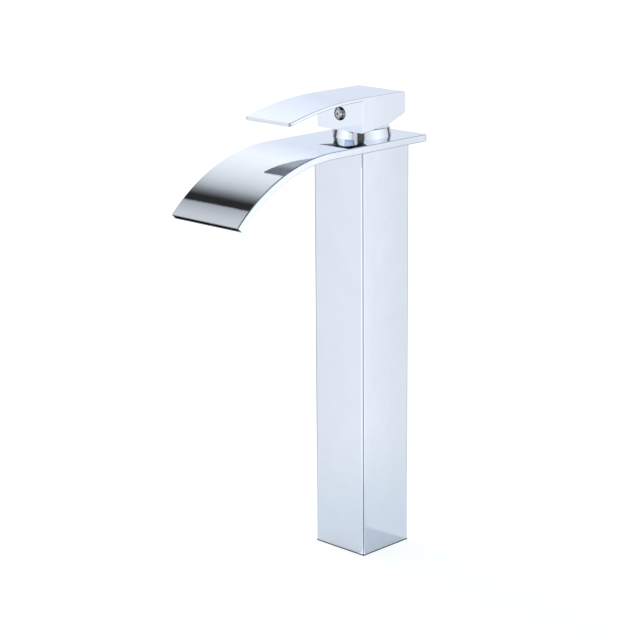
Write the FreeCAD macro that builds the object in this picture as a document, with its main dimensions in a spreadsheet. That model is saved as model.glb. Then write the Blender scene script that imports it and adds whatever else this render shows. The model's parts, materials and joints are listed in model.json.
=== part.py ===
import FreeCAD, Part
import math
import os
import types

import Sketcher

# Waterfall basin faucet, in millimetres.
# +Z is up, the spout points along -Y and X runs across it.
# The origin is the middle of the post's foot, on the surface that it stands on.

SIZES = {
    # post
    "column_width": 44.0,
    "column_height": 273.3,
    "column_wall": 2.0,
    "column_edge_radius": 2.0,
    "gasket_thickness": 1.0,
    "gasket_inset": 0.4,
    "gasket_hole_gap": 1.0,
    # clearances
    "braze_gap": 0.1,
    "running_gap": 0.05,
    "seal_gap": 0.03,
    # foot block with the threads of the two hoses and of the fixing stud
    "base_height": 26.0,
    "block_edge_radius": 1.0,
    "inlet_spacing": 14.0,
    "inlet_front": 4.5,
    "inlet_thread_radius": 4.5,
    "inlet_thread_depth": 12.0,
    "stud_back": 11.0,
    "stud_thread_radius": 3.4,
    "stud_thread_depth": 18.0,
    # riser tubes and their seals
    "riser_radius": 4.0,
    "riser_wall": 1.0,
    "riser_socket_depth": 9.0,
    "seal_section_radius": 0.7,
    "seal_groove_width": 2.0,
    "seal_groove_inset": 3.0,
    # spout
    "spout_width": 59.6,
    "spout_thickness": 4.5,
    "spout_rear": 30.9,
    "spout_flat": 55.8,
    "spout_bend_radius": 116.5,
    "spout_bend_angle": 45.3,
    "spout_skin": 1.1,
    "spout_side": 1.3,
    "spout_floor_thickness": 1.0,
    "spout_corner_radius": 2.5,
    "spout_edge_radius": 1.0,
    "spout_lower_edge_radius": 0.4,
    "spacer_width": 1.6,
    "spacer_gap": 0.02,
    "spacer_setback_angle": 1.0,
    "spacer_span_angle": 6.0,
    # valve housing
    "cartridge_depth": 21.6,
    "housing_floor": 20.0,
    "neck_radius": 16.0,
    "neck_height": 2.5,
    "port_passage_length": 5.0,
    "waterway_overlap": 2.0,
    "gallery_start": 2.0,
    "gallery_width": 16.0,
    "gallery_height": 3.5,
    "gallery_roof": 2.5,
    "gallery_slot": 2.4,
    "gallery_wall": 1.2,
    "window_gap": 0.5,
    # cartridge
    "cartridge_radius": 12.5,
    "cartridge_wall": 1.3,
    "cartridge_base_height": 6.0,
    "cartridge_roof": 2.0,
    "cartridge_neck_radius": 10.0,
    "carrier_radius": 7.95,
    "carrier_gap": 0.3,
    "carrier_rim_gap": 0.2,
    "carrier_rim_height": 3.2,
    "carrier_drop": 1.5,
    "carrier_slot_length": 12.6,
    "inlet_port_radius": 1.9,
    "inlet_port_offset": 3.6,
    "inlet_port_front": 3.2,
    "outlet_port_radius": 2.2,
    "outlet_port_back": 4.2,
    "port_seal_width": 1.1,
    "port_seal_height": 1.2,
    "fixed_disc_gap": 0.7,
    "fixed_disc_height": 3.5,
    "disc_travel_room": 2.8,
    "moving_disc_height": 3.5,
    "mixing_width": 9.2,
    "mixing_start": 0.8,
    "mixing_end": 6.0,
    "mixing_depth": 1.8,
    "coupler_floor": 0.5,
    "peg_radius": 1.0,
    "peg_height": 1.0,
    "peg_offset": 5.8,
    # stem and its pivot
    "pivot_rise": 5.3,
    "stem_width": 6.0,
    "stem_rise": 25.0,
    "stem_shoulder_drop": 4.0,
    "stem_waist_width": 3.6,
    "stem_foot_radius": 2.6,
    "stem_foot_sink": 1.7,
    "stem_foot_gap": 0.2,
    "pin_radius": 1.25,
    "pin_fit_gap": 0.02,
    "pin_inset": 0.25,
    # retaining nut and bell ring
    "nut_thread_radius": 14.0,
    "nut_thread_relief": 0.5,
    "nut_hex_width": 24.0,
    "nut_roof_gap": 0.4,
    "bell_height": 6.2,
    "bell_foot_radius": 19.3,
    "bell_head_radius": 18.3,
    "bell_bulge_radius": 60.0,
    "bell_edge_radius": 0.6,
    "bell_roof": 1.2,
    "bell_thread_height": 3.5,
    "bell_chamber_radius": 15.2,
    "bell_opening_radius": 12.0,
    # handle
    "handle_gap": 5.7,
    "handle_width": 40.0,
    "handle_length": 40.0,
    "handle_height": 22.6,
    "handle_rise_angle": 6.0,
    "handle_heel_start": 2.45,
    "handle_heel_angle": 20.6,
    "handle_edge_radius": 0.4,
    "handle_rear_radius": 2.3,
    "handle_recess_gap": 0.6,
    "handle_recess_depth": 4.5,
    "socket_end_gap": 0.5,
    "lever_flat": 2.5,
    "lever_bend_radius": 245.0,
    "lever_bend_angle": 14.75,
    "lever_thickness": 2.2,
    "lever_corner_radius": 2.5,
    "lever_edge_radius": 0.5,
    # set screw and plug
    "screw_drop": 11.9,
    "set_screw_radius": 2.4,
    "set_screw_length": 10.0,
    "set_screw_hex": 2.5,
    "set_screw_hex_depth": 2.5,
    "plug_radius": 4.5,
    "plug_rim": 0.5,
    "plug_height": 2.3,
    "plug_dome_radius": 4.2,
    "plug_shank_radius": 3.95,
    "plug_shank_length": 4.5,
    "plug_end_gap": 0.5,
    "plug_dimple_radius": 0.8,
    "plug_dimple_depth": 1.1,
}

UP = FreeCAD.Vector(0, 0, 1)


class Size:
    """A length or angle: its number, and the sheet formula that gives it."""

    def __init__(self, value, text):
        self.value = value
        self.text = text

    def __add__(self, other):
        other = as_size(other)
        return Size(self.value + other.value, f"({self.text} + {other.text})")

    def __sub__(self, other):
        other = as_size(other)
        return Size(self.value - other.value, f"({self.text} - {other.text})")

    def __mul__(self, other):
        other = as_size(other)
        return Size(self.value * other.value, f"({self.text} * {other.text})")

    def __truediv__(self, other):
        other = as_size(other)
        return Size(self.value / other.value, f"({self.text} / {other.text})")

    def __neg__(self):
        return Size(-self.value, f"(-1 * {self.text})")


def as_size(number):
    """A plain number as a Size; a Size stays as it is."""
    return number if isinstance(number, Size) else Size(float(number), repr(float(number)))


def sine(angle):
    return Size(math.sin(math.radians(angle.value)), f"sin({angle.text})")


def cosine(angle):
    return Size(math.cos(math.radians(angle.value)), f"cos({angle.text})")


def tangent(angle):
    return Size(math.tan(math.radians(angle.value)), f"tan({angle.text})")


ZERO = as_size(0)

doc = FreeCAD.newDocument("faucet")


def make_sheet():
    """Write the driving sizes into a sheet, one row each, and return them by name."""
    sheet = doc.addObject("Spreadsheet::Sheet", "Sizes")
    for row, (name, value) in enumerate(SIZES.items(), start=1):
        sheet.set(f"A{row}", name)
        sheet.set(f"B{row}", str(value))
        sheet.setAlias(f"B{row}", name)
    doc.recompute()
    return types.SimpleNamespace(
        **{name: Size(float(sheet.get(name)), f"Sizes.{name}") for name in SIZES}
    )


s = make_sheet()

# ---------------------------------------------------------------- sketches and features


pieces = []


def new_body(name):
    """An empty body for one piece; its label is the piece's name."""
    body = doc.addObject("PartDesign::Body", name)
    body.Label = name
    pieces.append(body)
    return body


def new_sketch(body, plane, offset=ZERO):
    """A sketch on one of the body's own planes, moved along the plane's normal."""
    sketch = body.newObject("Sketcher::SketchObject", "Sketch")
    support = next(item for item in body.Origin.OriginFeatures if item.Role == plane)
    sketch.AttachmentSupport = [(support, "")]
    sketch.MapMode = "FlatFace"
    sketch.setExpression("AttachmentOffset.Base.z", offset.text)
    return sketch


def constrain(sketch, kind, size, *where):
    index = sketch.addConstraint(Sketcher.Constraint(kind, *where, size.value))
    sketch.setExpression(f"Constraints[{index}]", size.text)


def fix_point(sketch, curve, end, x, y):
    """Hold one point of a curve at (x, y) from the sketch's origin."""
    for kind, axis, place in (("DistanceX", -2, x), ("DistanceY", -1, y)):
        if place is ZERO:
            sketch.addConstraint(Sketcher.Constraint("PointOnObject", curve, end, axis))
        else:
            constrain(sketch, kind, place, -1, 1, curve, end)


def arc_between(start, end, radius, turn):
    """The short arc from start to end; turn is 1 if it bulges to the right of the way."""
    chord = end - start
    sagitta = radius - math.sqrt(radius**2 - (chord.Length / 2) ** 2)
    side = FreeCAD.Vector(chord.y, -chord.x, 0).normalize() * (turn * sagitta)
    return Part.Arc(start, (start + end) * 0.5 + side, end)


def outline(sketch, corners, arcs=None):
    """A closed outline. arcs gives, by a side's number, the radius and turn of a round side."""
    arcs = arcs or {}
    points = [FreeCAD.Vector(x.value, y.value, 0) for x, y in corners]
    ends = []
    for side, start in enumerate(points):
        end = points[(side + 1) % len(points)]
        if side in arcs:
            radius, turn = arcs[side]
            curve = sketch.addGeometry(arc_between(start, end, radius.value, turn), False)
            constrain(sketch, "Radius", radius, curve)
            forward = sketch.getPoint(curve, 1).distanceToPoint(start) < 1e-6
            ends.append((curve, 1, 2) if forward else (curve, 2, 1))
        else:
            curve = sketch.addGeometry(Part.LineSegment(start, end), False)
            ends.append((curve, 1, 2))
    for side, (curve, start, _) in enumerate(ends):
        last_curve, _, last_end = ends[side - 1]
        sketch.addConstraint(Sketcher.Constraint("Coincident", last_curve, last_end, curve, start))
        fix_point(sketch, curve, start, *corners[side])


def circle(sketch, radius, x=ZERO, y=ZERO):
    curve = sketch.addGeometry(
        Part.Circle(FreeCAD.Vector(x.value, y.value, 0), UP, radius.value), False
    )
    fix_point(sketch, curve, 3, x, y)
    constrain(sketch, "Radius", radius, curve)


def rectangle(sketch, left, right, low, high):
    outline(sketch, [(left, low), (right, low), (right, high), (left, high)])


def square(sketch, width):
    half = width / 2
    rectangle(sketch, -half, half, -half, half)


def hexagon(sketch, width, x=ZERO, y=ZERO):
    """A hexagon given by its width across the flats."""
    reach = width / math.sqrt(3)
    corners = []
    for step in range(6):
        angle = as_size(60 * step + 30)
        corners.append((x + reach * cosine(angle), y + reach * sine(angle)))
    outline(sketch, corners)


def extrude(body, kind, sketch, length=None, symmetric=False, reverse=False):
    """A Pad or a Pocket. A Pocket goes against the sketch's normal unless it is reversed."""
    before = body.Shape.Volume if body.Tip else 0.0
    feature = body.newObject(f"PartDesign::{kind}", kind)
    feature.Profile = sketch
    feature.Reversed = reverse
    if symmetric:
        feature.SideType = "Symmetric"
    if length is None:
        feature.Type = "ThroughAll"
    else:
        feature.setExpression("Length", length.text)
    doc.recompute()
    change = body.Shape.Volume - before
    if (change if kind == "Pad" else -change) <= 0:
        raise ValueError(f"{kind} in {body.Label} changes nothing")
    return feature


def pad(body, sketch, length, **options):
    return extrude(body, "Pad", sketch, length, **options)


def pocket(body, sketch, length=None, **options):
    return extrude(body, "Pocket", sketch, length, **options)


def bore(body, radius, x, y, low, high):
    """A round upright hole between two heights."""
    sketch = new_sketch(body, "XY_Plane", low)
    circle(sketch, radius, x, y)
    return pocket(body, sketch, high - low, reverse=True)


def turned(name, corners, arcs=None, plane="XZ_Plane"):
    """A body turned about the upright axis of its sketch; a corner is (radius, height)."""
    body = new_body(name)
    sketch = new_sketch(body, plane)
    outline(sketch, corners, arcs)
    feature = body.newObject("PartDesign::Revolution", "Revolution")
    feature.Profile = sketch
    feature.ReferenceAxis = (sketch, ["V_Axis"])
    feature.Angle = 360
    doc.recompute()
    return body


def fillet(body, radius, wanted):
    """Round every edge of the body that wanted(edge) picks."""
    edges = [f"Edge{i}" for i, edge in enumerate(body.Shape.Edges, start=1) if wanted(edge)]
    if not edges:
        raise ValueError(f"no edge to round on {body.Label}")
    tip = body.Tip
    feature = body.newObject("PartDesign::Fillet", "Fillet")
    feature.Base = (tip, edges)
    feature.setExpression("Radius", radius.text)
    doc.recompute()
    return feature


def is_upright(edge):
    """True for a straight edge along Z."""
    if not isinstance(edge.Curve, Part.Line):
        return False
    return abs(edge.tangentAt(edge.FirstParameter).z) > 0.999


def middle(edge):
    return edge.valueAt((edge.FirstParameter + edge.LastParameter) / 2)


def place(body, x=ZERO, y=ZERO, z=ZERO):
    for axis, size in (("x", x), ("y", y), ("z", z)):
        body.setExpression(f"Placement.Base.{axis}", size.text)


# ---------------------------------------------------------------- shared places

spout_top = s.column_height + s.spout_thickness
inner_width = s.column_width - s.column_wall * 2
block_width = inner_width - s.braze_gap * 2
neck_top = spout_top + s.neck_height

# hot and cold stand side by side
inlet_offset = s.inlet_spacing / 2
waterway_radius = s.riser_radius - s.riser_wall
riser_socket_radius = s.riser_radius + s.running_gap
seal_ring_radius = s.riser_radius + s.seal_gap + s.seal_section_radius
seal_groove_radius = seal_ring_radius + s.seal_section_radius + s.seal_gap
base_top = s.gasket_thickness + s.base_height
seal_depth = s.seal_groove_inset + s.seal_groove_width / 2

# the cartridge, from its floor up
cartridge_floor = s.column_height - s.cartridge_depth
housing_bottom = cartridge_floor - s.housing_floor
fixed_disc_bottom = cartridge_floor + s.cartridge_base_height
moving_disc_bottom = fixed_disc_bottom + s.fixed_disc_height
coupler_bottom = moving_disc_bottom + s.moving_disc_height
coupler_pocket = s.stem_foot_sink + s.stem_foot_radius + s.stem_foot_gap
coupler_top = coupler_bottom + s.coupler_floor + coupler_pocket
carrier_bottom = coupler_top + s.carrier_gap
cavity_top = carrier_bottom + s.carrier_rim_height + s.braze_gap
cartridge_shoulder = cavity_top + s.cartridge_roof
cartridge_top = spout_top + s.bell_height - s.carrier_drop
cavity_radius = s.cartridge_radius - s.cartridge_wall
moving_disc_radius = cavity_radius - s.disc_travel_room
pivot_height = coupler_top + s.pivot_rise
stem_foot_drop = s.pivot_rise + s.stem_foot_sink

# the ports through the cartridge's base and the fixed disc: x, y and radius
PORTS = [
    (-s.inlet_port_offset, -s.inlet_port_front, s.inlet_port_radius),
    (s.inlet_port_offset, -s.inlet_port_front, s.inlet_port_radius),
    (ZERO, s.outlet_port_back, s.outlet_port_radius),
]

handle_bottom = spout_top + s.handle_gap
handle_side = s.handle_width / 2
handle_front = s.handle_length / 2
screw_height = handle_bottom + s.handle_height - s.screw_drop


def port_circles(sketch, growth=ZERO):
    for x, y, radius in PORTS:
        circle(sketch, radius + growth, x, y)


# ---------------------------------------------------------------- post and foot


def make_column_shell():
    """Square tube, standing on the gasket."""
    body = new_body("column_shell")
    outside = new_sketch(body, "XY_Plane")
    square(outside, s.column_width)
    pad(body, outside, s.column_height - s.gasket_thickness)
    fillet(body, s.column_edge_radius, is_upright)
    inside = new_sketch(body, "XY_Plane")
    square(inside, inner_width)
    pocket(body, inside, reverse=True)
    place(body, z=s.gasket_thickness)


def make_base_gasket():
    """Sheet under the post, open round the hose threads and the stud."""
    body = new_body("base_gasket")
    sheet = new_sketch(body, "XY_Plane")
    square(sheet, s.column_width - s.gasket_inset * 2)
    for side in (-1, 1):
        circle(
            sheet, s.inlet_thread_radius + s.gasket_hole_gap, inlet_offset * side, -s.inlet_front
        )
    circle(sheet, s.stud_thread_radius + s.gasket_hole_gap, ZERO, s.stud_back)
    pad(body, sheet, s.gasket_thickness)


def make_base_block():
    """Plug of the post's foot: hose threads below, riser sockets above, a stud thread."""
    body = new_body("base_block")
    outside = new_sketch(body, "XY_Plane")
    square(outside, block_width)
    pad(body, outside, s.base_height)
    fillet(body, s.block_edge_radius, is_upright)
    socket = s.base_height - s.riser_socket_depth
    groove = s.base_height - s.seal_groove_inset - s.seal_groove_width
    for side in (-1, 1):
        x, y = inlet_offset * side, -s.inlet_front
        bore(body, s.inlet_thread_radius, x, y, ZERO, s.inlet_thread_depth)
        bore(body, waterway_radius, x, y, s.inlet_thread_depth, socket)
        bore(body, riser_socket_radius, x, y, socket, s.base_height)
        bore(body, seal_groove_radius, x, y, groove, groove + s.seal_groove_width)
    bore(body, s.stud_thread_radius, ZERO, s.stud_back, ZERO, s.stud_thread_depth)
    place(body, z=s.gasket_thickness)


def make_riser_tube(name, side):
    """Tube from the foot block up to the valve housing."""
    body = new_body(name)
    ring = new_sketch(body, "XY_Plane")
    circle(ring, s.riser_radius)
    circle(ring, waterway_radius)
    foot = base_top - s.riser_socket_depth
    pad(body, ring, housing_bottom + s.riser_socket_depth - foot)
    place(body, inlet_offset * side, -s.inlet_front, foot)


def make_riser_seals():
    """One O-ring near each end of both tubes, in its groove."""
    rings = []
    for side in (-1, 1):
        for height in (base_top - seal_depth, housing_bottom + seal_depth):
            ring = doc.addObject("Part::Torus", "SealRing")
            ring.setExpression("Radius1", seal_ring_radius.text)
            ring.setExpression("Radius2", s.seal_section_radius.text)
            place(ring, inlet_offset * side, -s.inlet_front, height)
            rings.append(ring)
    seals = doc.addObject("Part::Compound", "riser_seals")
    seals.Links = rings
    pieces.append(seals)


# ---------------------------------------------------------------- spout


def spout_band(sketch, rear, top, bottom, angle):
    """Side view of a layer of the spout, between two depths below its upper face."""
    flat = -s.spout_flat
    centre = s.spout_thickness - s.spout_bend_radius
    outer = s.spout_bend_radius - top
    inner = s.spout_bend_radius - bottom
    corners = [
        (rear, s.spout_thickness - bottom),
        (rear, s.spout_thickness - top),
        (flat, s.spout_thickness - top),
        (flat - outer * sine(angle), centre + outer * cosine(angle)),
        (flat - inner * sine(angle), centre + inner * cosine(angle)),
        (flat, s.spout_thickness - bottom),
    ]
    outline(sketch, corners, {2: (outer, 1), 4: (inner, -1)})


def make_spout_cover():
    """Upper skin of the spout with its side walls and rear wall, open below."""
    body = new_body("spout_cover")
    outside = new_sketch(body, "YZ_Plane")
    spout_band(outside, s.spout_rear, ZERO, s.spout_thickness, s.spout_bend_angle)
    pad(body, outside, s.spout_width, symmetric=True)
    fillet(body, s.spout_corner_radius, is_upright)

    def rim_at(height):
        """A test for the edges round the skin whose flat part is at this height."""
        radius = s.spout_bend_radius.value - s.spout_thickness.value + height

        def is_rim(edge):
            point = middle(edge)
            if point.y < -s.spout_flat.value:
                reach = math.hypot(
                    point.y + s.spout_flat.value,
                    point.z - s.spout_thickness.value + s.spout_bend_radius.value,
                )
                return abs(reach - radius) < 0.01 and not isinstance(edge.Curve, Part.Line)
            across = abs(point.x) < 1 and point.y < 0
            return abs(point.z - height) < 0.01 and not across

        return is_rim

    fillet(body, s.spout_edge_radius, rim_at(s.spout_thickness.value))
    fillet(body, s.spout_lower_edge_radius, rim_at(0))
    beyond = as_size(1)
    inside = new_sketch(body, "YZ_Plane")
    spout_band(
        inside,
        s.spout_rear - s.spout_side,
        s.spout_skin,
        s.spout_thickness + beyond,
        s.spout_bend_angle + beyond,
    )
    pocket(body, inside, s.spout_width - s.spout_side * 2, symmetric=True)
    bore(body, s.neck_radius + s.braze_gap, ZERO, ZERO, ZERO, s.spout_thickness)
    place(body, z=s.column_height)


def make_spout_floor():
    """Lower skin of the spout, with the hole for the neck and the water's window behind it."""
    body = new_body("spout_floor")
    side = new_sketch(body, "YZ_Plane")
    spout_band(
        side,
        s.spout_rear - s.spout_side - s.running_gap,
        s.spout_thickness - s.spout_floor_thickness,
        s.spout_thickness,
        s.spout_bend_angle,
    )
    pad(body, side, s.spout_width - (s.spout_side + s.running_gap) * 2, symmetric=True)
    bore(body, s.neck_radius + s.braze_gap, ZERO, ZERO, ZERO, s.spout_floor_thickness)
    window = new_sketch(body, "XY_Plane")
    half = s.gallery_width / 2 + s.window_gap
    rectangle(window, -half, half, ZERO, block_width / 2 - s.gallery_wall + s.window_gap)
    pocket(body, window, s.spout_floor_thickness, reverse=True)
    place(body, z=s.column_height)


def make_spout_spacer():
    """Rib in the middle of the mouth that keeps the two skins apart."""
    body = new_body("spout_spacer")
    side = new_sketch(body, "YZ_Plane")
    outer = s.spout_bend_radius - s.spout_skin - s.spacer_gap
    inner = s.spout_bend_radius - s.spout_thickness + s.spout_floor_thickness + s.spacer_gap
    far = s.spout_bend_angle - s.spacer_setback_angle
    near = far - s.spacer_span_angle
    corners = [
        (-inner * sine(near), inner * cosine(near)),
        (-outer * sine(near), outer * cosine(near)),
        (-outer * sine(far), outer * cosine(far)),
        (-inner * sine(far), inner * cosine(far)),
    ]
    outline(side, corners, {1: (outer, 1), 3: (inner, -1)})
    pad(body, side, s.spacer_width, symmetric=True)
    place(body, y=-s.spout_flat, z=spout_top - s.spout_bend_radius)


# ---------------------------------------------------------------- valve housing


def make_valve_housing():
    """Head block of the post: cartridge bore and neck, water passages below and behind."""
    body = new_body("valve_housing")
    floor = s.housing_floor
    top = floor + s.cartridge_depth
    neck_end = top + s.spout_thickness + s.neck_height
    outside = new_sketch(body, "XY_Plane")
    square(outside, block_width)
    pad(body, outside, top)
    fillet(body, s.block_edge_radius, is_upright)
    neck = new_sketch(body, "XY_Plane", top)
    circle(neck, s.neck_radius)
    pad(body, neck, neck_end - top)

    bore(body, s.cartridge_radius + s.braze_gap, ZERO, ZERO, floor, neck_end)
    thread = cartridge_shoulder - housing_bottom - s.nut_thread_relief
    bore(body, s.nut_thread_radius + s.running_gap, ZERO, ZERO, thread, neck_end)

    # hot and cold: socket and seal groove of the tube, waterway, port of the cartridge
    passage = floor - s.port_passage_length
    groove = s.seal_groove_inset
    for side, (port_x, port_y, port_radius) in zip((-1, 1), PORTS):
        x, y = inlet_offset * side, -s.inlet_front
        bore(body, riser_socket_radius, x, y, ZERO, s.riser_socket_depth)
        bore(body, seal_groove_radius, x, y, groove, groove + s.seal_groove_width)
        bore(body, waterway_radius, x, y, s.riser_socket_depth, passage + s.waterway_overlap)
        bore(body, port_radius, port_x, port_y, passage, floor)

    # mixed water: port, gallery to the rear, slot up into the spout
    port_x, port_y, port_radius = PORTS[2]
    roof = floor - s.gallery_roof
    rear = block_width / 2 - s.gallery_wall
    half = s.gallery_width / 2
    bore(body, port_radius, port_x, port_y, roof, floor)
    gallery = new_sketch(body, "XY_Plane", roof - s.gallery_height)
    rectangle(gallery, -half, half, s.gallery_start, rear)
    pocket(body, gallery, s.gallery_height, reverse=True)
    slot = new_sketch(body, "XY_Plane", roof)
    rectangle(slot, -half, half, rear - s.gallery_slot, rear)
    pocket(body, slot, top - roof, reverse=True)
    place(body, z=housing_bottom)


# ---------------------------------------------------------------- cartridge


def make_cartridge_base():
    """Floor of the cartridge, with a counterbore for a seal at both ends of each port."""
    body = new_body("cartridge_base")
    disc = new_sketch(body, "XY_Plane")
    circle(disc, s.cartridge_radius)
    port_circles(disc)
    pad(body, disc, s.cartridge_base_height)
    for height in (ZERO, s.cartridge_base_height - s.port_seal_height):
        seats = new_sketch(body, "XY_Plane", height)
        port_circles(seats, s.port_seal_width + s.seal_gap)
        pocket(body, seats, s.port_seal_height, reverse=True)
    place(body, z=cartridge_floor)


def make_seal_set(name, height):
    """Three flat-faced rings, one round each port."""
    body = new_body(name)
    rings = new_sketch(body, "XY_Plane")
    port_circles(rings)
    port_circles(rings, s.port_seal_width)
    pad(body, rings, s.port_seal_height)
    place(body, z=height)


def make_cartridge_body():
    """Shell of the cartridge: cavity of the discs, roof, and the neck of the carrier."""
    neck = s.carrier_radius + s.running_gap
    roof = cavity_top - fixed_disc_bottom
    shoulder = cartridge_shoulder - fixed_disc_bottom
    top = cartridge_top - fixed_disc_bottom
    corners = [
        (cavity_radius, ZERO),
        (s.cartridge_radius, ZERO),
        (s.cartridge_radius, shoulder),
        (s.cartridge_neck_radius, shoulder),
        (s.cartridge_neck_radius, top),
        (neck, top),
        (neck, roof),
        (cavity_radius, roof),
    ]
    body = turned("cartridge_body", corners)
    place(body, z=fixed_disc_bottom)


def make_fixed_disc():
    body = new_body("fixed_disc")
    disc = new_sketch(body, "XY_Plane")
    circle(disc, cavity_radius - s.fixed_disc_gap)
    port_circles(disc)
    pad(body, disc, s.fixed_disc_height)
    place(body, z=fixed_disc_bottom)


def make_moving_disc():
    """Disc with the mixing recess below and two holes for the coupler's pegs above."""
    body = new_body("moving_disc")
    disc = new_sketch(body, "XY_Plane")
    circle(disc, moving_disc_radius)
    pad(body, disc, s.moving_disc_height)
    recess = new_sketch(body, "XY_Plane")
    half = s.mixing_width / 2
    rectangle(recess, -half, half, -s.mixing_start, s.mixing_end)
    pocket(body, recess, s.mixing_depth, reverse=True)
    hole_floor = s.moving_disc_height - s.peg_height - s.running_gap
    for side in (-1, 1):
        radius = s.peg_radius + s.running_gap
        bore(body, radius, s.peg_offset * side, ZERO, hole_floor, s.moving_disc_height)
    place(body, z=moving_disc_bottom)


def make_disc_coupler():
    """Disc that takes the stem's foot in a square pocket and drives the moving disc by pegs."""
    body = new_body("disc_coupler")
    disc = new_sketch(body, "XY_Plane")
    circle(disc, moving_disc_radius)
    pad(body, disc, coupler_top - coupler_bottom)
    seat = new_sketch(body, "XY_Plane", s.coupler_floor)
    square(seat, (s.stem_foot_radius + s.running_gap) * 2)
    pocket(body, seat, coupler_pocket, reverse=True)
    pegs = new_sketch(body, "XY_Plane")
    for side in (-1, 1):
        circle(pegs, s.peg_radius, s.peg_offset * side)
    pad(body, pegs, s.peg_height, reverse=True)
    place(body, z=coupler_bottom)


def make_stem_carrier():
    """Turning part of the cartridge: a rim, a shaft, the stem's slot and the pin's hole."""
    rim = s.carrier_rim_height
    top = cartridge_top - carrier_bottom
    corners = [
        (ZERO, ZERO),
        (cavity_radius - s.carrier_rim_gap, ZERO),
        (cavity_radius - s.carrier_rim_gap, rim),
        (s.carrier_radius, rim),
        (s.carrier_radius, top),
        (ZERO, top),
    ]
    body = turned("stem_carrier", corners)
    slot = new_sketch(body, "XY_Plane")
    half_width = s.stem_width / 2 + s.running_gap
    half_length = s.carrier_slot_length / 2
    rectangle(slot, -half_width, half_width, -half_length, half_length)
    pocket(body, slot, reverse=True)
    hole = new_sketch(body, "YZ_Plane")
    circle(hole, s.pin_radius + s.pin_fit_gap, ZERO, pivot_height - carrier_bottom)
    pocket(body, hole, s.carrier_radius * 2, symmetric=True)
    place(body, z=carrier_bottom)


def make_pivot_pin():
    body = new_body("pivot_pin")
    section = new_sketch(body, "YZ_Plane")
    circle(section, s.pin_radius)
    pad(body, section, (s.carrier_radius - s.pin_inset) * 2, symmetric=True)
    place(body, z=pivot_height)


def make_stem():
    """Square spindle with a rounded foot below its pivot; the pivot is its origin."""
    body = new_body("stem")
    half = s.stem_width / 2
    spindle = new_sketch(body, "YZ_Plane")
    rectangle(spindle, -half, half, -s.stem_shoulder_drop, s.stem_rise)
    pad(body, spindle, s.stem_width, symmetric=True)
    waist = new_sketch(body, "YZ_Plane")
    half = s.stem_waist_width / 2
    rectangle(waist, -half, half, -stem_foot_drop, -s.stem_shoulder_drop)
    pad(body, waist, s.stem_foot_radius * 2, symmetric=True)
    foot = new_sketch(body, "YZ_Plane")
    circle(foot, s.stem_foot_radius, ZERO, -stem_foot_drop)
    pad(body, foot, s.stem_foot_radius * 2, symmetric=True)
    hole = new_sketch(body, "YZ_Plane")
    circle(hole, s.pin_radius + s.running_gap)
    pocket(body, hole, s.stem_width, symmetric=True)
    place(body, z=pivot_height)


# ---------------------------------------------------------------- nut and bell ring


def make_retaining_nut():
    """Ring nut on the cartridge's shoulder, with a hexagon above the neck."""
    body = new_body("retaining_nut")
    hole_radius = s.cartridge_neck_radius + s.braze_gap
    thread_length = neck_top - cartridge_shoulder
    ring = new_sketch(body, "XY_Plane")
    circle(ring, s.nut_thread_radius)
    circle(ring, hole_radius)
    pad(body, ring, thread_length)
    head = new_sketch(body, "XY_Plane", thread_length)
    hexagon(head, s.nut_hex_width)
    circle(head, hole_radius)
    pad(body, head, spout_top + s.bell_height - s.bell_roof - s.nut_roof_gap - neck_top)
    place(body, z=cartridge_shoulder)


def make_bell_ring():
    """Tapered ring that is screwed on the neck and hides the nut."""
    edge = s.bell_edge_radius
    height = s.bell_height
    corners = [
        (s.neck_radius + s.braze_gap, ZERO),
        (s.bell_foot_radius, ZERO),
        (s.bell_head_radius, height - edge),
        (s.bell_head_radius - edge, height),
        (s.bell_opening_radius, height),
        (s.bell_opening_radius, height - s.bell_roof),
        (s.bell_chamber_radius, height - s.bell_roof),
        (s.bell_chamber_radius, s.bell_thread_height),
        (s.neck_radius + s.braze_gap, s.bell_thread_height),
    ]
    body = turned("bell_ring", corners, {1: (s.bell_bulge_radius, 1), 2: (edge, 1)})
    place(body, z=spout_top)


# ---------------------------------------------------------------- handle


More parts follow.
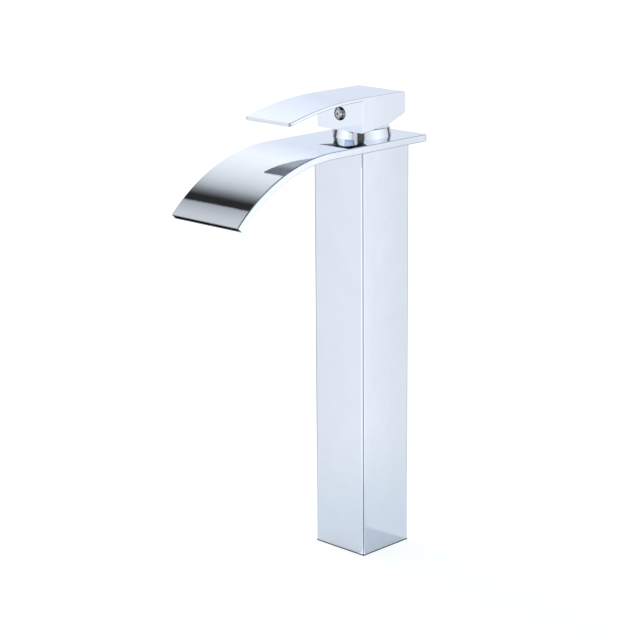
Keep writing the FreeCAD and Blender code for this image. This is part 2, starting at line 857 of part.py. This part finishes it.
def make_handle():
    """Block with the long bent blade, open below for the bell ring and the stem."""
    body = new_body("handle")
    heel = s.handle_heel_start
    rise = (handle_front + heel) * tangent(s.handle_rise_angle)
    heel_top = rise + (handle_front - heel) * tangent(s.handle_heel_angle)
    bend = -(handle_front + s.lever_flat)
    outer = s.lever_bend_radius
    inner = outer - s.lever_thickness
    centre = s.handle_height - outer
    angle = s.lever_bend_angle
    tip = bend - outer * sine(angle)
    corners = [
        (-handle_front, ZERO),
        (heel, rise),
        (handle_front, heel_top),
        (handle_front, s.handle_height),
        (bend, s.handle_height),
        (tip, centre + outer * cosine(angle)),
        (bend - inner * sine(angle), centre + inner * cosine(angle)),
        (bend, s.handle_height - s.lever_thickness),
        (-handle_front, s.handle_height - s.lever_thickness),
    ]
    profile = new_sketch(body, "YZ_Plane")
    outline(profile, corners, {4: (outer, 1), 6: (inner, -1)})
    pad(body, profile, s.handle_width, symmetric=True)

    def is_rear_top(edge):
        point = middle(edge)
        at_rear = abs(point.y - handle_front.value) < 0.01
        return at_rear and abs(point.z - s.handle_height.value) < 0.01

    def is_tip_corner(edge):
        point = middle(edge)
        at_side = abs(abs(point.x) - handle_side.value) < 0.01
        return at_side and point.y < tip.value + 1

    def is_top_rim(edge):
        point = middle(edge)
        if point.y > bend.value:
            return abs(point.z - s.handle_height.value) < 0.01 and abs(point.x) > 1
        reach = math.hypot(point.y - bend.value, point.z - centre.value)
        return abs(reach - outer.value) < 0.01

    def is_lower_rim(edge):
        """The sides of the blade's underside, the block's lower sides and front corners."""
        point = middle(edge)
        if abs(abs(point.x) - handle_side.value) > 0.01:
            return False
        if point.y > -handle_front.value - 0.01:
            return point.z < heel_top.value + 0.01 or is_upright(edge) and point.y < 0
        if point.y > bend.value:
            return abs(point.z - s.handle_height.value + s.lever_thickness.value) < 0.01
        reach = math.hypot(point.y - bend.value, point.z - centre.value)
        return abs(reach - inner.value) < 0.01

    fillet(body, s.handle_rear_radius, is_rear_top)
    fillet(body, s.lever_corner_radius, is_tip_corner)
    fillet(body, s.lever_edge_radius, is_top_rim)
    fillet(body, s.handle_edge_radius, is_lower_rim)

    recess_radius = s.bell_head_radius + s.handle_recess_gap
    bore(body, recess_radius, ZERO, ZERO, ZERO, s.handle_recess_depth)
    socket = new_sketch(body, "XY_Plane")
    square(socket, s.stem_width + s.running_gap * 2)
    socket_top = pivot_height + s.stem_rise + s.socket_end_gap - handle_bottom
    pocket(body, socket, socket_top, reverse=True)

    # from the front: the plug's hole, then the set screw's thread as far as the socket
    height = screw_height - handle_bottom
    for radius, length in (
        (s.plug_shank_radius + s.running_gap, s.plug_shank_length + s.plug_end_gap),
        (s.set_screw_radius + s.running_gap, handle_front - s.stem_width / 2),
    ):
        hole = new_sketch(body, "XZ_Plane", handle_front)
        circle(hole, radius, ZERO, height)
        pocket(body, hole, length)
    place(body, z=handle_bottom)


def make_set_screw():
    """Headless screw that bears on the stem, with a hexagon socket."""
    body = new_body("set_screw")
    section = new_sketch(body, "XZ_Plane")
    circle(section, s.set_screw_radius)
    pad(body, section, s.set_screw_length)
    key = new_sketch(body, "XZ_Plane", s.set_screw_length)
    hexagon(key, s.set_screw_hex)
    pocket(body, key, s.set_screw_hex_depth)
    place(body, y=-s.stem_width / 2, z=screw_height)


def make_screw_plug():
    """Domed plug in the block's front face; it points along -Y from that face."""
    dimple_floor = s.plug_dimple_depth - s.plug_height
    corners = [
        (ZERO, s.plug_shank_length),
        (ZERO, dimple_floor),
        (s.plug_dimple_radius, dimple_floor),
        (s.plug_dimple_radius, -s.plug_height),
        (s.plug_radius, -s.plug_rim),
        (s.plug_radius, ZERO),
        (s.plug_shank_radius, ZERO),
        (s.plug_shank_radius, s.plug_shank_length),
    ]
    body = turned("screw_plug", corners, {3: (s.plug_dome_radius, 1)}, plane="XY_Plane")
    place(body, y=-handle_front, z=screw_height)


# ---------------------------------------------------------------- all pieces

make_base_gasket()
make_column_shell()
make_base_block()
make_riser_tube("hot_riser_tube", -1)
make_riser_tube("cold_riser_tube", 1)
make_riser_seals()
make_spout_cover()
make_spout_floor()
make_spout_spacer()
make_valve_housing()
make_cartridge_base()
make_seal_set("port_seals", cartridge_floor)
make_seal_set("disc_seals", fixed_disc_bottom - s.port_seal_height)
make_cartridge_body()
make_fixed_disc()
make_moving_disc()
make_disc_coupler()
make_stem_carrier()
make_pivot_pin()
make_stem()
make_retaining_nut()
make_bell_ring()
make_handle()
make_set_screw()
make_screw_plug()

doc.recompute()
for item in doc.Objects:
    if "Invalid" in item.State or "Error" in item.State:
        raise ValueError(f"{item.Label} can't be built")

os.makedirs("parts", exist_ok=True)
for piece in pieces:
    if piece.Shape.isNull() or not piece.Shape.isValid() or not piece.Shape.Solids:
        raise ValueError(f"{piece.Label} isn't a sound solid")
    piece.Shape.exportStep(f"parts/{piece.Label}.step")
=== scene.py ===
import json
import math

import bpy
from mathutils import Matrix, Vector

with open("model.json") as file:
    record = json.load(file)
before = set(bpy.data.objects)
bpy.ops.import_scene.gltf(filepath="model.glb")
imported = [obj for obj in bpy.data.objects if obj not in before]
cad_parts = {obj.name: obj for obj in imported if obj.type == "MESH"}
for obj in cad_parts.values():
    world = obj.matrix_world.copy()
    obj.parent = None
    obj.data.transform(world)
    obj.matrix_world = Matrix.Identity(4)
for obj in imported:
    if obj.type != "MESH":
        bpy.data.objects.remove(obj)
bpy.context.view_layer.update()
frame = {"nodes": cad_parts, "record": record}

# ---------------------------------------------------------------- camera

# The photograph's view: round the post from the front, above the horizon, and its tilt.
AZIMUTH = math.radians(44.357)
ELEVATION = math.radians(15.070)
ROLL = math.radians(-0.404)
DISTANCE = 1.38064
# the point in the middle of the picture: to the right of the post, and its height
AIM_RIGHT = -0.027549
AIM_HEIGHT = 0.154457
LENS = 117.706
SENSOR = 36.0


def direction(azimuth, elevation):
    """The way from the object to a place in the room; azimuth 0 is in front of the spout."""
    return Vector(
        (
            math.sin(azimuth) * math.cos(elevation),
            -math.cos(azimuth) * math.cos(elevation),
            math.sin(elevation),
        )
    )


def make_camera():
    back = direction(AZIMUTH, ELEVATION)
    right = Vector((math.cos(AZIMUTH), math.sin(AZIMUTH), 0))
    up = back.cross(right)
    aim = right * AIM_RIGHT + Vector((0, 0, AIM_HEIGHT))
    x_axis = right * math.cos(ROLL) + up * math.sin(ROLL)
    y_axis = up * math.cos(ROLL) - right * math.sin(ROLL)
    data = bpy.data.cameras.new("camera")
    data.sensor_width = SENSOR
    data.lens = LENS
    camera = bpy.data.objects.new("camera", data)
    bpy.context.scene.collection.objects.link(camera)
    camera.matrix_world = (
        Matrix.Translation(aim + back * DISTANCE)
        @ Matrix((x_axis, y_axis, back)).transposed().to_4x4()
    )
    bpy.context.scene.camera = camera


# ---------------------------------------------------------------- node helpers


def add(tree, kind, **values):
    """A node with the given sockets set."""
    node = tree.nodes.new(kind)
    for socket, value in values.items():
        node.inputs[socket.replace("_", " ")].default_value = value
    return node


def plug(tree, source, socket):
    """Link an output to a socket, or set the socket to a plain value."""
    if isinstance(source, bpy.types.NodeSocket):
        tree.links.new(source, socket)
    else:
        socket.default_value = source


def calculated(tree, operation, first, second):
    node = tree.nodes.new("ShaderNodeMath")
    node.operation = operation
    plug(tree, first, node.inputs[0])
    plug(tree, second, node.inputs[1])
    return node.outputs[0]


def passing(tree, source, start, end, low=0.0, high=1.0, smooth=True):
    """A value that passes from low to high while its source passes from start to end."""
    node = add(tree, "ShaderNodeMapRange", From_Min=start, From_Max=end, To_Min=low, To_Max=high)
    if smooth:
        node.interpolation_type = "SMOOTHSTEP"
    tree.links.new(source, node.inputs["Value"])
    return node.outputs["Result"]


def mixture(tree, share, first, second, kind="RGBA"):
    """A mix of two colours or two values; a share of 0 gives the first."""
    node = tree.nodes.new("ShaderNodeMix")
    node.data_type = kind
    ends = [socket for socket in node.inputs if socket.enabled]
    for socket, source in zip(ends, (share, first, second)):
        plug(tree, source, socket)
    return [socket for socket in node.outputs if socket.enabled][0]


def shader_mix(tree, share, first, second):
    node = tree.nodes.new("ShaderNodeMixShader")
    for socket, source in zip(node.inputs, (share, first, second)):
        tree.links.new(source, socket)
    return node.outputs[0]


def coordinate(tree, output, axis):
    """One axis of a texture coordinate."""
    place = add(tree, "ShaderNodeTexCoord")
    apart = add(tree, "ShaderNodeSeparateXYZ")
    tree.links.new(place.outputs[output], apart.inputs[0])
    return apart.outputs[axis]


# ---------------------------------------------------------------- materials

# the part of a noise's range that is spread over a colour or a roughness
NOISE_LOW = 0.3
NOISE_HIGH = 0.7

# painted shade on the handle's undersides: how far down a face looks where the painted shade
# begins and is complete
FACE_BEGINS = -0.6
FACE_COMPLETE = -0.85
# where it lies along Y in metres, with its share at the start and the end of each stretch
SHADE_STRETCHES = (
    (-0.0205, -0.0195, 0.0, 1.0),  # the front edge of the block's underside
    (-0.076, -0.058, 0.62, 0.0),  # from the blade's tip, where the painted shade is darkest, to its middle
)


def new_material(name):
    material = bpy.data.materials.new(name)
    material.use_nodes = True
    return material, material.node_tree, material.node_tree.nodes["Principled BSDF"]


def noise(tree, scale, stretch=None):
    """Noise in the object's own metres; stretch scales it along each axis."""
    place = add(tree, "ShaderNodeTexCoord")
    texture = add(tree, "ShaderNodeTexNoise", Scale=scale, Detail=3.0)
    source = place.outputs["Object"]
    if stretch:
        mapping = add(tree, "ShaderNodeMapping", Scale=stretch)
        tree.links.new(source, mapping.inputs["Vector"])
        source = mapping.outputs["Vector"]
    tree.links.new(source, texture.inputs["Vector"])
    return texture.outputs["Fac"]


def spread(tree, source, low, high):
    """A noise value turned into the range from low to high."""
    return passing(tree, source, NOISE_LOW, NOISE_HIGH, low, high, smooth=False)


def shades(tree, source, dark, pale):
    """A noise value turned into a colour between two."""
    node = add(tree, "ShaderNodeValToRGB")
    first, last = node.color_ramp.elements
    first.position = NOISE_LOW
    first.color = (*dark, 1)
    last.position = NOISE_HIGH
    last.color = (*pale, 1)
    tree.links.new(source, node.inputs["Fac"])
    return node.outputs["Color"]


def finish_of(name, dark, pale, rough, grain, metallic=0.0, stretch=None, relief=(0.2, 0.00002)):
    """A surface whose colour, roughness and relief vary with a grain of the given scale."""
    material, tree, shader = new_material(name)
    shader.inputs["Metallic"].default_value = metallic
    source = noise(tree, grain, stretch)
    tree.links.new(shades(tree, source, dark, pale), shader.inputs["Base Color"])
    tree.links.new(spread(tree, source, *rough), shader.inputs["Roughness"])
    strength, distance = relief
    bump = add(tree, "ShaderNodeBump", Strength=strength, Distance=distance)
    tree.links.new(source, bump.inputs["Height"])
    tree.links.new(bump.outputs["Normal"], shader.inputs["Normal"])
    return material


def cover(tree, socket, share, new, kind="RGBA"):
    """Mix a new colour or value over what is linked to a socket."""
    old = socket.links[0].from_socket
    tree.links.new(mixture(tree, share, old, new, kind), socket)


def painted_underside_shade(plated):
    """The plated metal, with painted shade, near black, under the block and the blade's tip."""
    material = plated.copy()
    material.name = "chrome_with_painted_shade"
    tree = material.node_tree
    shader = tree.nodes["Principled BSDF"]
    facing = coordinate(tree, "Normal", "Z")
    below = passing(tree, facing, FACE_BEGINS, FACE_COMPLETE, smooth=False)
    grain = noise(tree, 1200.0)
    # painted shade: the near-black colour of the undersides, which lie in shade
    shade_colour = shades(tree, grain, dark=(0.09, 0.094, 0.1), pale=(0.13, 0.135, 0.145))
    rough = spread(tree, grain, 0.3, 0.42)
    for stretch in SHADE_STRETCHES:
        part = passing(tree, coordinate(tree, "Object", "Y"), *stretch)
        share = calculated(tree, "MULTIPLY", below, part)
        cover(tree, shader.inputs["Base Color"], share, shade_colour)
        cover(tree, shader.inputs["Roughness"], share, rough, kind="FLOAT")
    return material


def make_materials():
    made = {
        "chrome": finish_of(
            "chrome",
            dark=(0.71, 0.77, 0.86),
            pale=(0.73, 0.79, 0.88),
            rough=(0.02, 0.035),
            grain=60.0,
            metallic=1.0,
            relief=(1.0, 0.00003),
        ),
        "brass": finish_of(
            "brass",
            dark=(0.62, 0.42, 0.16),
            pale=(0.74, 0.53, 0.24),
            rough=(0.25, 0.4),
            grain=900.0,
            metallic=1.0,
        ),
        "steel": finish_of(
            "steel",
            dark=(0.42, 0.42, 0.42),
            pale=(0.56, 0.56, 0.55),
            rough=(0.22, 0.36),
            grain=1500.0,
            metallic=1.0,
            stretch=(0.05, 1.0, 1.0),
        ),
        "rubber": finish_of(
            "rubber",
            dark=(0.012, 0.012, 0.013),
            pale=(0.03, 0.03, 0.031),
            rough=(0.6, 0.8),
            grain=2500.0,
        ),
        "ceramic": finish_of(
            "ceramic",
            dark=(0.72, 0.7, 0.66),
            pale=(0.82, 0.8, 0.76),
            rough=(0.15, 0.25),
            grain=1200.0,
        ),
        "plastic": finish_of(
            "plastic",
            dark=(0.66, 0.66, 0.64),
            pale=(0.74, 0.74, 0.72),
            rough=(0.4, 0.55),
            grain=2000.0,
        ),
    }
    own = {
        "handle": painted_underside_shade(made["chrome"]),
        "screw_plug": finish_of(
            "nickel",
            dark=(0.42, 0.41, 0.42),
            pale=(0.52, 0.51, 0.52),
            rough=(0.06, 0.12),
            grain=900.0,
            metallic=1.0,
        ),
        # painted shade: near-black brass inside the spout's slot, which lies in shade
        "spout_spacer": finish_of(
            "brass_with_painted_slot_shade",
            dark=(0.05, 0.042, 0.03),
            pale=(0.09, 0.075, 0.05),
            rough=(0.4, 0.6),
            grain=1500.0,
            metallic=1.0,
        ),
    }
    slots = {row["node"]: row["material_slot"] for row in frame["record"]["subparts"]}
    for name, node in frame["nodes"].items():
        node.data.materials.clear()
        node.data.materials.append(own.get(name) or made[slots[name]])


# ---------------------------------------------------------------- studio

# Brightness of the room as polished metal sees it, one table for each height. A stop is an
# azimuth in degrees, a level and, where the light is cool, how cool. The room has a soft box
# at the front left and one on the right, pale walls behind them, and dark gaps between.
FAR_BELOW = (
    (-180, 0.06), (-140, 0.1), (-90, 0.3),
    # pale floor at the front left
    (-75, 0.98), (-25, 0.98),
    (0, 0.5), (80, 0.5), (140, 0.1), (180, 0.06),
)
BELOW_HORIZON = (
    # gap behind
    (-180, 0.03), (-177, 0.03),
    # wall on the left
    (-172, 0.5), (-162, 0.65), (-100, 0.62), (-91, 0.5),
    # gap on the left
    (-88, 0.03), (-71, 0.03),
    # soft box at the front left
    (-68, 0.85), (-46, 0.93), (-43, 1.04), (-36, 1.14), (-20, 1.33), (26, 1.25),
    # gap at the front
    (27.5, 0.03), (54.5, 0.03),
    # soft box on the right
    (56, 1.15), (66, 1.33), (80, 1.33), (88, 1.1), (131.5, 1.1), (133.3, 1.33), (135.8, 1.24),
    # wall behind, on the right
    (136.5, 1.12), (136.9, 1.0), (138, 0.97), (146, 1.02), (160, 0.9), (166, 0.6),
    # gap behind
    (169, 0.03), (180, 0.03),
)
HORIZON = (
    # gap behind
    (-180, 0.14), (-176, 0.14),
    # wall on the left
    (-172, 0.5), (-162, 0.65), (-100, 0.62), (-91, 0.5),
    # gap on the left
    (-88, 0.12), (-71, 0.12),
    # soft boxes, which meet at this height
    (-68, 0.85), (-50, 1.02), (-43, 1.12), (-36, 1.2), (-20, 1.33), (40, 1.2),
    (66, 1.33), (80, 1.33), (88, 1.1), (131.5, 1.1), (133.3, 1.33), (135.8, 1.24),
    # wall behind, on the right
    (136.5, 1.13), (136.9, 1.04), (138, 1.01), (146, 1.02), (160, 0.9), (169, 0.7),
    # gap behind
    (172, 0.14), (180, 0.14),
)
LOW_WALLS = (
    # gap behind
    (-180, 0.14), (-176, 0.14),
    # wall on the left, cool at its rear end
    (-172, 0.5), (-155, 0.6), (-140, 0.84, 0.16), (-135, 0.87, 0.15), (-133, 0.98, 0.12),
    (-131, 1.05, 0.08), (-127, 1.18), (-116, 1.05), (-104, 0.8), (-91, 0.5),
    # gap on the left
    (-88, 0.12), (-71, 0.12),
    # soft box at the front left, with the seam beside it
    (-68, 0.79), (-62, 0.87), (-46, 1.16), (-27, 1.33), (-14, 1.3), (0, 1.0), (6, 0.9),
    (10, 0.55), (14, 0.82), (26, 0.75),
    # gap at the front
    (27.5, 0.09), (54.5, 0.11),
    # soft box on the right and the wall behind it
    (56, 0.85), (73, 1.0), (108, 1.33), (138, 1.08), (168, 0.8),
    # gap behind
    (172, 0.14),
)
HIGH_WALLS = (
    # wall on the left, brightest and cool at its rear end
    (-180, 0.5), (-153, 0.55), (-147, 0.7), (-140, 0.96, 0.12), (-131, 1.1, 0.06), (-127, 1.2),
    (-116.3, 1.06), (-110, 0.95), (-104.6, 0.8), (-99.2, 0.57), (-94.8, 0.26),
    # gap on the left
    (-90.5, 0.03), (-85, 0.03),
    # soft box at the front left
    (-84.4, 0.5), (-79.8, 0.65), (-76.4, 0.74), (-60, 1.1), (20, 1.2),
    # gap at the front
    (28.5, 0.03), (50.5, 0.03),
    # soft box on the right and the wall behind it
    (55, 1.1), (150, 1.1), (158, 0.7), (163, 0.5), (180, 0.5),
)
CEILING = ((-180, 0.08), (180, 0.08))
OVERHEAD = ((-180, 0.5), (180, 0.5))
# the sines of the elevations between which each part of the room passes into the next
LAYERS = (
    (-0.46, -0.4, BELOW_HORIZON),
    (-0.184, -0.174, HORIZON),
    (-0.06, 0.0, LOW_WALLS),
    (0.35, 0.6, HIGH_WALLS),
    (0.748, 0.79, CEILING),
    (0.95, 0.99, OVERHEAD),
)
BRIGHTEST = 1.4
# the green that goes with the blue of cool light
COOL_GREEN = 0.3

# light on everything that isn't polished, and the lamp that makes up its colour to white
WHITE = 1.0
DIFFUSE_LIGHT = 0.74
SKY = (0.93, 1.05, 1.14)
LAMP = (1.0, 0.857, 0.75)

FLOOR_WIDTH = 40.0
# the floor's colour in the metal, and its colour and glow in the picture, where it is white
FLOOR_MIRRORED = (0.93, 0.93, 0.93, 1)
FLOOR_SEEN = (0.38, 0.38, 0.38, 1)
FLOOR_GLOW = 0.735
# from this distance to that, in metres, the floor passes out of the metal's view
FLOOR_NEAR = 0.05
FLOOR_FAR = 0.3
NEAR_SHARE = 0.15
# the way in which the upright edge at the front of the post looks; it sees no floor there,
# within a sector given by the cosines of its half angles
EDGE_WAY = (0.669, -0.743, 0.0)
SECTOR_BEGINS = 0.97
SECTOR_COMPLETE = 0.99


def make_floor():
    """Pale floor. Only its part near the foot shows in the metal, above it the room does."""
    bpy.ops.mesh.primitive_plane_add(size=FLOOR_WIDTH)
    floor = bpy.context.object
    floor.name = "floor"
    material, tree, shader = new_material("floor")
    shader.inputs["Roughness"].default_value = 0.9
    shader.inputs["Specular IOR Level"].default_value = 0.0
    shader.inputs["Emission Color"].default_value = (1, 1, 1, 1)
    path = add(tree, "ShaderNodeLightPath")
    seen = path.outputs["Is Camera Ray"]
    colour = mixture(tree, seen, FLOOR_MIRRORED, FLOOR_SEEN)
    tree.links.new(colour, shader.inputs["Base Color"])
    glow = passing(tree, seen, 0.0, 1.0, 0.0, FLOOR_GLOW, smooth=False)
    tree.links.new(glow, shader.inputs["Emission Strength"])

    place = add(tree, "ShaderNodeTexCoord").outputs["Object"]
    length = add(tree, "ShaderNodeVectorMath")
    length.operation = "LENGTH"
    tree.links.new(place, length.inputs[0])
    reach = length.outputs["Value"]
    far = passing(tree, reach, FLOOR_NEAR, FLOOR_FAR, NEAR_SHARE, 1.0)
    toward = add(tree, "ShaderNodeVectorMath")
    toward.operation = "DOT_PRODUCT"
    toward.inputs[1].default_value = EDGE_WAY
    tree.links.new(place, toward.inputs[0])
    aligned = calculated(tree, "DIVIDE", toward.outputs["Value"], reach)
    sector = passing(tree, aligned, SECTOR_BEGINS, SECTOR_COMPLETE, smooth=False)
    open_part = calculated(tree, "MAXIMUM", far, sector)
    unseen = calculated(tree, "MULTIPLY", path.outputs["Is Glossy Ray"], open_part)
    clear = add(tree, "ShaderNodeBsdfTransparent")
    result = shader_mix(tree, unseen, shader.outputs[0], clear.outputs[0])
    tree.links.new(result, tree.nodes["Material Output"].inputs["Surface"])
    floor.data.materials.append(material)


def room_ramp(tree, azimuth, stops):
    """Light of the room at one height, from its table."""
    ramp = tree.nodes.new("ShaderNodeValToRGB")
    elements = ramp.color_ramp.elements
    while len(elements) < len(stops):
        elements.new(0.5)
    for element, (degrees, value, *tint) in zip(elements, stops):
        element.position = (degrees + 180) / 360
        level = value / BRIGHTEST
        cool = level * sum(tint)
        element.color = (level, level + cool * COOL_GREEN, level + cool, 1)
    tree.links.new(azimuth, ramp.inputs["Fac"])
    return ramp.outputs["Color"]


def background(tree, strength, colour=(1, 1, 1, 1)):
    """Light of a plain colour, or of the colour that an output gives."""
    node = add(tree, "ShaderNodeBackground", Strength=strength)
    plug(tree, colour, node.inputs["Color"])
    return node.outputs[0]


def make_world():
    world = bpy.data.worlds.new("studio")
    bpy.context.scene.world = world
    world.use_nodes = True
    tree = world.node_tree
    tree.nodes.clear()
    across, along, height = (coordinate(tree, "Generated", axis) for axis in "XYZ")
    forward = calculated(tree, "MULTIPLY", along, -1.0)
    turned = calculated(tree, "ARCTAN2", across, forward)
    azimuth = passing(tree, turned, -math.pi, math.pi, smooth=False)
    room = room_ramp(tree, azimuth, FAR_BELOW)
    for low, high, stops in LAYERS:
        above = room_ramp(tree, azimuth, stops)
        room = mixture(tree, passing(tree, height, low, high), room, above)
    path = tree.nodes.new("ShaderNodeLightPath")
    seen = background(tree, WHITE)
    mirrored = background(tree, BRIGHTEST, room)
    soft = background(tree, DIFFUSE_LIGHT, (*SKY, 1))
    shiny = shader_mix(tree, path.outputs["Is Glossy Ray"], soft, mirrored)
    clear = shader_mix(tree, path.outputs["Is Transmission Ray"], shiny, mirrored)
    result = shader_mix(tree, path.outputs["Is Camera Ray"], clear, seen)
    output = tree.nodes.new("ShaderNodeOutputWorld")
    tree.links.new(result, output.inputs["Surface"])


def make_lamp(name, azimuth, elevation, distance, width, height, power):
    """A soft lamp that looks at the object; polished metal doesn't show it."""
    data = bpy.data.lights.new(name, "AREA")
    data.shape = "RECTANGLE"
    data.size = width
    data.size_y = height
    data.energy = power
    data.color = LAMP
    lamp = bpy.data.objects.new(name, data)
    bpy.context.scene.collection.objects.link(lamp)
    away = direction(math.radians(azimuth), math.radians(elevation))
    lamp.location = away * distance
    lamp.rotation_mode = "QUATERNION"
    lamp.rotation_quaternion = (-away).to_track_quat("-Z", "Y")
    lamp.visible_glossy = False


bpy.context.scene.view_settings.view_transform = "Standard"
make_camera()
make_materials()
make_floor()
make_world()
make_lamp("key", azimuth=-95, elevation=50, distance=2.0, width=0.2, height=0.5, power=13.6)
